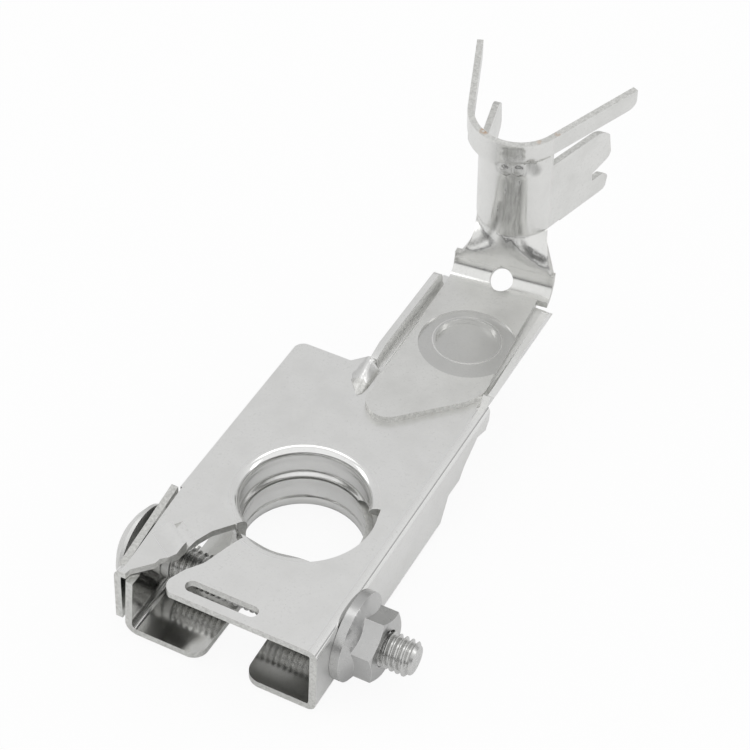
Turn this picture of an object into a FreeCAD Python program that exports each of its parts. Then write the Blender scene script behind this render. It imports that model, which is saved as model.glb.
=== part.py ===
# Battery terminal clamp: a folded sheet clamp with its post bore, the crimp lug that is
# press joined to its tail, and the carriage bolt and flange nut that close the jaws.
# Millimetres. The origin is on the axis of the post bore, at the underside of the bottom
# plate. +Y runs from the bolt end to the cable end, +X to the nut and +Z up.
import FreeCAD, Part
import math
import os
import Sketcher

doc = FreeCAD.newDocument("TerminalClamp")

# Driving dimensions, each written once as a plain number
SIZES = {
    # The folded box of the clamp
    "sheet_wall": 1.2,
    "box_height": 13.3,
    "box_left": -18.0,
    "box_right": 16.9,
    "box_front": -27.5,
    "fold_radius": 1.5,
    "plate_rear": 31.4,
    "plate_corner": 1.8,
    "wall_rear": 33.0,
    "bottom_rear": 15.8,
    # The post bore and the two drawn collars
    "bore_radius": 9.8,
    "collar_roll": 2.0,
    "seam_height": 7.3,
    "seam_gap": 0.35,
    "collar_start": 15.0,
    "collar_end": 238.3,
    "collar_fade_rear": 8.5,
    "collar_fade_front": 2.6,
    # The edge of the tongue that is turned down into the bore
    "lip_x": 0.6,
    "lip_y": -1.9,
    "lip_radius": 12.0,
    "lip_bend": 2.9,
    "lip_bend_angle": 46.4,
    "lip_half_angle": 34.4,
    "lip_edge": -11.8,
    # The lanced tab of the left jaw
    "tab_x": -14.9,
    "tab_y": -15.5,
    "tab_turn": 57.3,
    "tab_length": 6.5,
    "tab_rise": 1.0,
    "tab_run": 3.4,
    "tab_dip": 0.8,
    "tab_dip_run": 1.9,
    # The two left flanges
    "flange_rear": -7.7,
    "flange_foot": 2.7,
    "flange_flare": 1.6,
    "flange_slit": 0.7,
    "corner_tie": 1.6,
    "inner_left": -16.4,
    "inner_bend": 2.1,
    "inner_top": 11.9,
    "inner_lean": 0.5,
    # The split of the jaws, the slot of the tongue and the slot of the bottom plate
    "tongue_rear": -12.4,
    "tongue_slot_left": -6.9,
    "tongue_slot_right": 5.5,
    "tongue_slot_centre": -24.8,
    "tongue_slot_width": 2.2,
    "bottom_slot_left": -2.9,
    "bottom_slot_right": 3.9,
    # The tail channel
    "tail_left": -4.5,
    "tail_right": 17.3,
    "tail_rear": 59.0,
    "tail_wall_top": 16.7,
    "tail_bend": 2.3,
    "tail_corner": 0.6,
    "horn_front": 24.3,
    "horn_left": -9.0,
    "horn_right": -2.2,
    "horn_crest": -4.4,
    "horn_rise": 2.6,
    "tail_wall_rear": 56.5,
    # The press joint of the lug and the tail
    "press_x": 7.0,
    "press_y": 44.8,
    "press_radius": 5.4,
    "press_depth": 1.5,
    "press_wall": 0.7,
    "press_rim": 8.4,
    "press_rim_x": 0.45,
    "press_rim_y": -1.26,
    "press_rim_depth": 0.5,
    "press_clearance": 0.03,
    # The lug, in a frame at the press joint that is turned by the yaw
    "lug_wall": 1.2,
    "lug_yaw": 7.0,
    "lug_left": -8.0,
    "lug_right": 9.9,
    "blade_right": 8.1,
    "lug_nose": -23.35,
    "lug_bend_line": 14.05,
    "lug_bend": 2.5,
    "lug_hole": 4.1,
    "waist_left": -6.7,
    "waist_right": 7.6,
    "waist_height": 20.6,
    # The open crimp barrel, in a frame at the top of its keel
    "barrel_x": 0.9,
    "barrel_y": 14.55,
    "barrel_top": 44.85,
    "barrel_lean": 8.0,
    "barrel_wall": 1.1,
    "barrel_radius": 8.7,
    "barrel_axis": -1.6,
    "wire_radius": 7.1,
    "wire_axis": -0.6,
    "trough_length": 21.4,
    "grip_length": 3.7,
    "grip_left_angle": 13.0,
    "grip_right_angle": 32.0,
    "grip_left_arm": 16.6,
    "grip_right_arm": 18.6,
    "wing_left_angle": 5.0,
    "wing_right_angle": 25.0,
    "wing_left_arm": 16.9,
    "wing_right_arm": 15.9,
    "arm_corner": 1.5,
    "wing_slot": 2.7,
    "wing_length": 15.7,
    # The carriage bolt and the flange nut
    "bolt_radius": 3.0,
    "bolt_y": -16.2,
    "bolt_height": 6.45,
    "bolt_length": 47.6,
    "bolt_chamfer": 0.7,
    "head_radius": 7.1,
    "head_angle": 44.4,
    "head_edge": 0.6,
    "head_flat_angle": 3.0,
    "neck_side": 6.0,
    "neck_length": 4.2,
    "hole_clearance": 0.15,
    "thread_clearance": 0.05,
    "seat_clearance": 0.03,
    "nut_flats": 10.0,
    "nut_height": 6.0,
    "nut_turn": 7.0,
    "nut_flange_radius": 7.3,
    "nut_flange_edge": 1.5,
    "nut_flange_height": 3.0,
}

sheet = doc.addObject("Spreadsheet::Sheet", "Sizes")
for row, (alias, number) in enumerate(SIZES.items(), start=1):
    sheet.set(f"A{row}", alias)
    sheet.set(f"B{row}", str(number))
    sheet.setAlias(f"B{row}", alias)
doc.recompute()


class Size:
    """A length or angle: its value now, and the formula that ties it to the sheet."""

    def __init__(self, value, formula):
        self.value = value
        self.formula = formula

    def __add__(self, other):
        other = as_size(other)
        return Size(self.value + other.value, f"({self.formula} + {other.formula})")

    def __sub__(self, other):
        other = as_size(other)
        return Size(self.value - other.value, f"({self.formula} - {other.formula})")

    def __mul__(self, other):
        other = as_size(other)
        return Size(self.value * other.value, f"({self.formula} * {other.formula})")

    def __truediv__(self, other):
        other = as_size(other)
        return Size(self.value / other.value, f"({self.formula} / {other.formula})")

    def __neg__(self):
        return Size(-self.value, f"(0 - {self.formula})")

    def __radd__(self, other):
        return as_size(other) + self

    def __rsub__(self, other):
        return as_size(other) - self

    def __rmul__(self, other):
        return as_size(other) * self


def as_size(number):
    return number if isinstance(number, Size) else Size(float(number), f"({number})")


def size(alias):
    return Size(float(sheet.get(alias)), f"Sizes.{alias}")


def cosine(angle):
    return Size(math.cos(math.radians(angle.value)), f"cos({angle.formula} * 1 deg)")


def sine(angle):
    return Size(math.sin(math.radians(angle.value)), f"sin({angle.formula} * 1 deg)")


def new_body(label):
    body = doc.addObject("PartDesign::Body", label)
    body.Label = label
    return body


def new_sketch(body, name, role, along=0, at=(0, 0), turn=0, tilt=0, swing=0):
    """A sketch on an origin plane, moved along its normal and across it.

    It is turned about its normal, tilted about its x axis or swung about its y axis.
    """
    drawing = body.newObject("Sketcher::SketchObject", name)
    planes = body.Origin.OriginFeatures
    plane = next(feature for feature in planes if feature.Role == role)
    drawing.AttachmentSupport = [(plane, "")]
    drawing.MapMode = "FlatFace"
    turns = {(0, 0, 1): as_size(turn), (1, 0, 0): as_size(tilt), (0, 1, 0): as_size(swing)}
    axis, angle = max(turns.items(), key=lambda item: abs(item[1].value))
    places = [as_size(at[0]), as_size(at[1]), as_size(along)]
    base = FreeCAD.Vector(*[place.value for place in places])
    rotation = FreeCAD.Rotation(FreeCAD.Vector(*axis), angle.value)
    drawing.AttachmentOffset = FreeCAD.Placement(base, rotation)
    for letter, place in zip("xyz", places):
        drawing.setExpression(f"AttachmentOffset.Base.{letter}", place.formula)
    if angle.value:
        drawing.setExpression("AttachmentOffset.Rotation.Angle", angle.formula)
    return drawing


def tie(drawing, kind, *references):
    """Adds one constraint whose last reference is a Size, bound by its formula."""
    measure = as_size(references[-1])
    index = drawing.addConstraint(Sketcher.Constraint(kind, *references[:-1], measure.value))
    drawing.setExpression(f"Constraints[{index}]", measure.formula)


def arc_between(start, end, radius):
    """The arc from start to end. A positive radius turns left and a negative one right."""
    chord = end - start
    half = chord.Length / 2
    size_now = max(abs(radius), half)
    rise = math.sqrt(size_now ** 2 - half ** 2)
    left = FreeCAD.Vector(-chord.y, chord.x, 0).normalize()
    centre = (start + end) * 0.5 + left * rise * (1 if radius > 0 else -1)
    circle = Part.Circle(centre, FreeCAD.Vector(0, 0, 1), size_now)
    first, last = (start, end) if radius > 0 else (end, start)
    begin = math.atan2(first.y - centre.y, first.x - centre.x)
    finish = math.atan2(last.y - centre.y, last.x - centre.x)
    return Part.ArcOfCircle(circle, begin, finish)


def draw_outline(drawing, corners):
    """A closed outline. A corner's third value is the radius of the arc that leads to it."""
    points = [FreeCAD.Vector(as_size(c[0]).value, as_size(c[1]).value, 0) for c in corners]
    segments = []
    for index, corner in enumerate(corners):
        start = points[index - 1]
        end = points[index]
        if len(corner) == 3:
            radius = as_size(corner[2])
            geometry = drawing.addGeometry(arc_between(start, end, radius.value))
            segments.append((geometry, 1, 2) if radius.value > 0 else (geometry, 2, 1))
            tie(drawing, "Radius", geometry, radius if radius.value > 0 else -radius)
        else:
            geometry = drawing.addGeometry(Part.LineSegment(start, end))
            segments.append((geometry, 1, 2))
    for index, corner in enumerate(corners):
        geometry, _, last = segments[index]
        follower, first, _ = segments[(index + 1) % len(segments)]
        drawing.addConstraint(Sketcher.Constraint("Coincident", geometry, last, follower, first))
        tie(drawing, "DistanceX", -1, 1, geometry, last, as_size(corner[0]))
        tie(drawing, "DistanceY", -1, 1, geometry, last, as_size(corner[1]))


def draw_circle(drawing, across, up, radius):
    centre = FreeCAD.Vector(as_size(across).value, as_size(up).value, 0)
    circle = Part.Circle(centre, FreeCAD.Vector(0, 0, 1), as_size(radius).value)
    geometry = drawing.addGeometry(circle)
    tie(drawing, "DistanceX", -1, 1, geometry, 3, as_size(across))
    tie(drawing, "DistanceY", -1, 1, geometry, 3, as_size(up))
    tie(drawing, "Radius", geometry, as_size(radius))


def extrude(body, kind, name, drawing, length, reverse=False):
    feature = body.newObject(kind, name)
    feature.Profile = drawing
    feature.Length = as_size(length).value
    feature.setExpression("Length", as_size(length).formula)
    feature.Reversed = reverse
    doc.recompute()
    return feature


def pad(body, name, drawing, length, reverse=False):
    return extrude(body, "PartDesign::Pad", name, drawing, length, reverse)


def pocket(body, name, drawing, length, reverse=False):
    before = body.Shape.Volume
    feature = extrude(body, "PartDesign::Pocket", name, drawing, length, reverse)
    if body.Shape.Volume >= before:
        raise RuntimeError(f"{name} cuts nothing")
    return feature


def revolve(body, kind, name, drawing, angle=360):
    feature = body.newObject(kind, name)
    feature.Profile = drawing
    feature.ReferenceAxis = (drawing, ["V_Axis"])
    feature.Angle = as_size(angle).value
    feature.setExpression("Angle", as_size(angle).formula)
    doc.recompute()
    return feature


wall = size("sheet_wall")
height = size("box_height")
left = size("box_left")
right = size("box_right")
front = size("box_front")
fold = size("fold_radius")
inner_fold = fold - wall


def make_clamp():
    """The clamp: one sheet that is folded round the bolt and drawn into the post bore."""
    body = new_body("clamp_body")

    # The section of the folded box: top plate, right wall, bottom plate and inner flange
    flange = size("inner_left")
    bend = size("inner_bend")
    lean = size("inner_lean")
    top = size("inner_top")
    drawing = new_sketch(body, "BoxSection", "XZ_Plane", along=-front)
    draw_outline(drawing, [
        (left, height),
        (left, height - wall),
        (right - fold, height - wall),
        (right - wall, height - fold, -inner_fold),
        (right - wall, fold),
        (right - fold, wall, -inner_fold),
        (flange + bend, wall),
        (flange + wall, bend, -(bend - wall)),
        (flange + wall + lean, top),
        (flange + lean, top),
        (flange, bend),
        (flange + bend, 0, bend),
        (right - fold, 0),
        (right, fold, fold),
        (right, height - fold),
        (right - fold, height, fold),
    ])
    pad(body, "FoldedBox", drawing, size("wall_rear") - front, reverse=True)

    # The rear of the bottom plate and the stepped rear edge of the right wall
    bottom_rear = size("bottom_rear")
    wall_rear = size("wall_rear")
    drawing = new_sketch(body, "RearEdge", "YZ_Plane", along=right + 1)
    draw_outline(drawing, [
        (bottom_rear, -1),
        (wall_rear + 1, -1),
        (wall_rear + 1, height - wall * 2.5),
        (wall_rear - 0.2, height - wall * 2.9),
        (wall_rear - 1.2, 8.6),
        (wall_rear - 4.5, 9.8),
        (bottom_rear + 8.1, 7.3),
        (bottom_rear + 6.3, 5.4),
        (bottom_rear + 2.3, 5.5),
        (bottom_rear, 1.6),
    ])
    pocket(body, "RearCut", drawing, right - left + 5, reverse=False)

    # The rear edge of the top plate, up to the corner where the tail's left wall starts
    rear = size("plate_rear")
    corner = size("plate_corner")
    curl = size("tail_corner")
    tail_left = size("tail_left")
    drawing = new_sketch(body, "PlateRear", "XY_Plane", along=height + 1)
    draw_outline(drawing, [
        (left - 1, rear - corner),
        (left, rear - corner),
        (left + corner, rear, -corner),
        (tail_left - curl, rear),
        (tail_left, rear + curl, curl),
        (tail_left, rear + curl + 1),
        (left - 1, rear + curl + 1),
    ])
    pocket(body, "PlateRearCut", drawing, wall + 1.5)

    # The inner flange ends level with the outer one
    flange_rear = size("flange_rear")
    drawing = new_sketch(body, "InnerFlangeEnd", "XY_Plane", along=-1)
    draw_outline(drawing, [
        (left - 1, flange_rear),
        (flange + bend, flange_rear),
        (flange + bend, wall_rear + 1),
        (left - 1, wall_rear + 1),
    ])
    pocket(body, "InnerFlangeCut", drawing, top + 1.1, reverse=True)

    # The left edge of the top plate beside the slit of the outer flange
    tie_length = size("corner_tie")
    slit = size("flange_slit")
    flare = size("flange_flare")
    drawing = new_sketch(body, "SideSlit", "XY_Plane", along=height + 1)
    draw_outline(drawing, [
        (left - 1, front - 1),
        (left + fold, front - 1),
        (left + fold, front + tie_length),
        (left + wall + 0.05, front + tie_length),
        (left + wall - flare + slit, flange_rear),
        (left - 1, flange_rear),
    ])
    pocket(body, "SideSlitCut", drawing, wall + 1)

    # The long slot across the tongue
    half_slot = size("tongue_slot_width") / 2
    slot_y = size("tongue_slot_centre")
    slot_left = size("tongue_slot_left") + half_slot
    slot_right = size("tongue_slot_right") - half_slot
    drawing = new_sketch(body, "TongueSlot", "XY_Plane", along=height + 1)
    draw_outline(drawing, [
        (slot_right, slot_y - half_slot),
        (slot_right + half_slot, slot_y, half_slot),
        (slot_right, slot_y + half_slot, half_slot),
        (slot_left, slot_y + half_slot),
        (slot_left - half_slot, slot_y, half_slot),
        (slot_left, slot_y - half_slot, half_slot),
    ])
    pocket(body, "TongueSlotCut", drawing, wall + 1)

    # Both plates are opened round the post, and the collars are drawn into the opening
    bore = size("bore_radius")
    roll = size("collar_roll")
    rim = bore + roll
    edge = rim + 0.4
    drawing = new_sketch(body, "TopOpening", "XY_Plane", along=height + 1)
    draw_circle(drawing, 0, 0, edge)
    pocket(body, "TopOpeningCut", drawing, wall + 1)
    # The opening is wider at the tongue, whose edge is turned down along a straight shear
    lip_x = size("lip_x")
    lip_y = size("lip_y")
    lip = size("lip_radius")
    lip_start = as_size(-118)
    lip_end = as_size(16.5)
    drawing = new_sketch(body, "TongueOpening", "XY_Plane", along=height + 1)
    draw_outline(drawing, [
        (0, 0),
        (lip_x + lip * cosine(lip_start), lip_y + lip * sine(lip_start)),
        (lip_x + lip * cosine(lip_end), lip_y + lip * sine(lip_end), lip),
    ])
    pocket(body, "TongueOpeningCut", drawing, wall + 1)
    half_lip = size("lip_half_angle")
    bend_out = size("lip_bend")
    bend_in = bend_out - wall
    bend_angle = size("lip_bend_angle")
    bend_z = height - bend_out
    drawing = new_sketch(body, "TongueLipSection", "XZ_Plane", along=-lip_y, at=(lip_x, 0),
                         swing=-(half_lip + 90))
    draw_outline(drawing, [
        (lip + 0.2, height),
        (lip, height),
        (lip - bend_out * sine(bend_angle), bend_z + bend_out * cosine(bend_angle), bend_out),
        (lip - bend_in * sine(bend_angle), bend_z + bend_in * cosine(bend_angle)),
        (lip, bend_z + bend_in, -bend_in),
        (lip + 0.2, height - wall),
    ])
    revolve(body, "PartDesign::Revolution", "TongueLip", drawing, half_lip * 2)
    half_width = lip * sine(half_lip) + 0.05
    lip_edge = size("lip_edge")
    drawing = new_sketch(body, "TongueShear", "XY_Plane", along=height + 1)
    draw_outline(drawing, [
        (lip_x - half_width, lip_edge),
        (lip_x + half_width, lip_edge),
        (lip_x + half_width, lip_y),
        (lip_x - half_width, lip_y),
    ])
    pocket(body, "TongueShearCut", drawing, wall + 2)

    # The lanced tab: it stands over the plate along its sheared rear edge, with a dip behind
    rise = size("tab_rise")
    run = size("tab_run")
    drawing = new_sketch(body, "TabSection", "XZ_Plane", along=-size("tab_y"),
                         at=(size("tab_x"), 0), swing=size("tab_turn"))
    draw_outline(drawing, [
        (0, height - wall / 2),
        (0, height + rise),
        (-run / 4, height + rise * 0.95),
        (-run, height),
        (-run, height - wall / 2),
    ])
    pad(body, "LancedTab", drawing, size("tab_length"))
    drawing = new_sketch(body, "TabDipSection", "XZ_Plane", along=-size("tab_y"),
                         at=(size("tab_x"), 0), swing=size("tab_turn"))
    draw_outline(drawing, [
        (0, height + 1),
        (0, height - size("tab_dip")),
        (size("tab_dip_run"), height),
        (size("tab_dip_run"), height + 1),
    ])
    pocket(body, "TabDip", drawing, size("tab_length"), reverse=True)

    # The split that parts the jaws, with the sloped side of the tongue
    tongue = size("tongue_rear")
    drawing = new_sketch(body, "JawSplit", "XY_Plane", along=height + 2)
    draw_outline(drawing, [
        (left + 1.9, front - 1),
        (left + 2.3, front + 1.1),
        (left + 4.9, front + 4),
        (left + 5.1, front + 5.1),
        (left + 7, front + 6.9),
        (left + 7.4, front + 9.6),
        (left + 9.1, front + 13.9),
        (left + 11.5, front + 17),
        (-4.1, tongue),
        (-5.0, tongue - 2.3),
        (-6.6, tongue - 7.4),
        (-8.5, tongue - 10.1),
        (-9.5, front + 2.6),
        (-8.3, front, 2.2),
        (-8.3, front - 1),
    ])
    pocket(body, "JawSplitCut", drawing, wall + 2.6)

    # The bottom plate is opened and slotted under the bolt
    drawing = new_sketch(body, "BottomOpening", "XY_Plane", along=-1)
    draw_circle(drawing, 0, 0, edge)
    pocket(body, "BottomOpeningCut", drawing, wall + 1, reverse=True)

    slot_a = size("bottom_slot_left")
    slot_b = size("bottom_slot_right")
    drawing = new_sketch(body, "BottomSlot", "XY_Plane", along=-1)
    draw_outline(drawing, [
        (slot_a - 2.6, front - 1),
        (slot_a - 2.6, front),
        (slot_a - 0.2, front + 2.4, 2.4),
        (slot_a, -bore),
        (slot_b, -bore),
        (slot_b + 0.4, front + 2.8),
        (slot_b + 3.2, front, 2.8),
        (slot_b + 3.2, front - 1),
    ])
    pocket(body, "BottomSlotCut", drawing, wall + 1, reverse=True)

    seam = size("seam_height")
    half_gap = size("seam_gap") / 2
    drawing = new_sketch(body, "BottomCollarSection", "XZ_Plane")
    draw_outline(drawing, [
        (edge + 0.1, 0),
        (edge + 0.1, wall),
        (rim, wall),
        (bore + wall, roll),
        (bore + wall, seam - half_gap),
        (bore, seam - half_gap),
        (bore, roll),
        (rim - roll * cosine(as_size(30)), roll - roll * sine(as_size(30))),
        (rim - roll * cosine(as_size(60)), roll - roll * sine(as_size(60))),
        (rim, 0),
    ])
    revolve(body, "PartDesign::Revolution", "BottomCollar", drawing)
    drawing = new_sketch(body, "CollarSlot", "XY_Plane", along=-1)
    draw_outline(drawing, [
        (slot_a, -edge - 0.2),
        (slot_b, -edge - 0.2),
        (slot_b, 0),
        (slot_a, 0),
    ])
    pocket(body, "CollarSlotCut", drawing, seam + 1, reverse=True)

    start = size("collar_start")
    drawing = new_sketch(body, "TopCollarSection", "XZ_Plane", swing=start)
    draw_outline(drawing, [
        (edge + 0.1, height),
        (rim, height),
        (bore, height - roll, roll),
        (bore, seam + half_gap),
        (bore + wall, seam + half_gap),
        (bore + wall, height - roll),
        (rim, height - wall),
        (edge + 0.1, height - wall),
    ])
    revolve(body, "PartDesign::Revolution", "TopCollar", drawing, size("collar_end") - start)

    # The collar runs out towards the tongue's right side
    fade_rear = size("collar_fade_rear")
    fade_front = size("collar_fade_front")
    drawing = new_sketch(body, "CollarFade", "YZ_Plane", along=rim + 1.5)
    draw_outline(drawing, [
        (fade_front - 2, seam + half_gap / 2),
        (fade_rear, seam + half_gap / 2),
        (fade_front, height - wall - 0.05),
        (fade_front - 2, height - wall - 0.05),
    ])
    pocket(body, "CollarFadeCut", drawing, rim - 4)

    # The corner fold carries the outer flange, which stands outwards behind it
    outer_top = height - 0.25
    drawing = new_sketch(body, "CornerFoldSection", "XZ_Plane", along=-front)
    draw_outline(drawing, [
        (left + fold + 0.6, height),
        (left + fold, height),
        (left, height - fold, fold),
        (left, size("flange_foot")),
        (left + wall, size("flange_foot")),
        (left + wall, height - fold),
        (left + fold, height - wall, -inner_fold),
        (left + fold + 0.6, height - wall),
    ])
    pad(body, "CornerFold", drawing, tie_length, reverse=True)
    drawing = new_sketch(body, "OuterFlangeSection", "XY_Plane", along=size("flange_foot"))
    draw_outline(drawing, [
        (left, front + tie_length - 0.1),
        (left + wall, front + tie_length - 0.1),
        (left + wall - flare, flange_rear),
        (left - flare, flange_rear),
    ])
    pad(body, "OuterFlange", drawing, outer_top - size("flange_foot"))

    # The tail channel between its two upturned walls
    tail_right = size("tail_right")
    tail_top = size("tail_wall_top")
    tail_rear = size("tail_rear")
    tail_bend = size("tail_bend")
    floor = height - wall
    tail_front = rear - 0.2
    drawing = new_sketch(body, "TailSection", "XZ_Plane", along=-tail_front)
    draw_outline(drawing, [
        (tail_left, tail_top),
        (tail_left, floor + tail_bend),
        (tail_left + tail_bend, floor, tail_bend),
        (tail_right - tail_bend, floor),
        (tail_right - 0.3, floor + tail_bend, tail_bend + 0.3),
        (tail_right, tail_top),
        (tail_right - wall, tail_top),
        (tail_right - wall - 0.3, floor + tail_bend),
        (tail_right - tail_bend, height, -(tail_bend - wall)),
        (tail_left + tail_bend, height),
        (tail_left + wall, floor + tail_bend, -(tail_bend - wall)),
        (tail_left + wall, tail_top),
    ])
    pad(body, "TailChannel", drawing, tail_rear - tail_front, reverse=True)

    # The left wall rises out of the plate as a rounded horn
    horn_rise = size("horn_rise")
    crest = size("horn_crest")

    def horn_section(name, along, share, shift):
        """A section of the horn, with its height as a share of the full rise."""
        top_z = height + horn_rise * share
        drawing = new_sketch(body, name, "XZ_Plane", along=-along)
        draw_outline(drawing, [
            (size("horn_left") * share + (crest - 1) * (1 - share) + shift, height - wall / 2),
            (size("horn_right") * share + (crest + 1) * (1 - share) + shift, height - wall / 2),
            (crest + 0.5 + shift, top_z - 0.2),
            (crest - 0.7 + shift, top_z - 0.3, 1.2),
        ])
        return drawing

    horn = body.newObject("PartDesign::AdditiveLoft", "Horn")
    horn.Profile = horn_section("HornRear", rear, 1, 0)
    horn.Sections = [horn_section("HornMiddle", rear - 4, 0.75, 0.5),
                     horn_section("HornFront", size("horn_front"), 0.1, 0.9)]
    doc.recompute()
    wall_end = size("tail_wall_rear")
    drawing = new_sketch(body, "LeftWallTop", "YZ_Plane", along=left)
    draw_outline(drawing, [
        (rear - 0.5, height + horn_rise - 0.1),
        (rear + 3, tail_top),
        (rear + 3, tail_top + 1),
        (rear - 0.5, tail_top + 1),
    ])
    pocket(body, "LeftWallRise", drawing, tail_left + wall * 2 - left, reverse=True)
    drawing = new_sketch(body, "RightWallTop", "YZ_Plane", along=tail_right + 1)
    draw_outline(drawing, [
        (wall_rear - 1.5, height),
        (wall_rear + 1.5, height + 0.5),
        (wall_end - 1.5, tail_top),
        (wall_end - 1.5, tail_top + 1),
        (wall_rear - 1.5, tail_top + 1),
    ])
    pocket(body, "RightWallRise", drawing, tail_bend + wall + 2)
    drawing = new_sketch(body, "WallEnds", "YZ_Plane", along=left)
    draw_outline(drawing, [
        (wall_end - 2, tail_top),
        (wall_end, tail_top - 2, -2),
        (wall_end, height),
        (tail_rear + 1, height),
        (tail_rear + 1, tail_top + 1),
        (wall_end - 2, tail_top + 1),
    ])
    pocket(body, "WallEndCut", drawing, right - left + 5, reverse=True)

    # The tail is drawn down under the press joint
    press = size("press_radius")
    press_wall = size("press_wall")
    cup = press + press_wall
    depth = size("press_depth") - size("press_rim_depth")
    mouth = cup + press_wall + 0.4
    place_x = size("press_x")
    place_y = size("press_y")
    drawing = new_sketch(body, "PressOpening", "XY_Plane", along=floor - 1)
    draw_circle(drawing, place_x, place_y, mouth)
    pocket(body, "PressOpeningCut", drawing, wall + 2, reverse=True)
    drawing = new_sketch(body, "PressCupSection", "XZ_Plane", along=-place_y, at=(place_x, 0))
    draw_outline(drawing, [
        (0, height - depth),
        (cup, height - depth),
        (cup, height),
        (mouth, height),
        (mouth, floor),
        (cup + press_wall, floor - 0.1),
        (cup + press_wall - 0.1, floor - depth + 0.4),
        (cup + press_wall - 0.5, floor - depth + 0.1),
        (0, floor - depth + 0.1),
    ])
    revolve(body, "PartDesign::Revolution", "PressCup", drawing)

    # The square holes of the flanges and the round hole of the right wall take the bolt
    bolt_y = size("bolt_y")
    bolt_z = size("bolt_height")
    half_neck = size("neck_side") / 2 + size("hole_clearance")
    drawing = new_sketch(body, "NeckHole", "YZ_Plane", along=left - flare - 1)
    draw_outline(drawing, [
        (bolt_y - half_neck, bolt_z - half_neck),
        (bolt_y + half_neck, bolt_z - half_neck),
        (bolt_y + half_neck, bolt_z + half_neck),
        (bolt_y - half_neck, bolt_z + half_neck),
    ])
    pocket(body, "NeckHoleCut", drawing, flange - left + flare + wall + lean + 2, reverse=True)
    drawing = new_sketch(body, "BoltHole", "YZ_Plane", along=right + 1)
    draw_circle(drawing, bolt_y, bolt_z, size("bolt_radius") + size("hole_clearance"))
    pocket(body, "BoltHoleCut", drawing, wall + 2)
    return body


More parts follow.
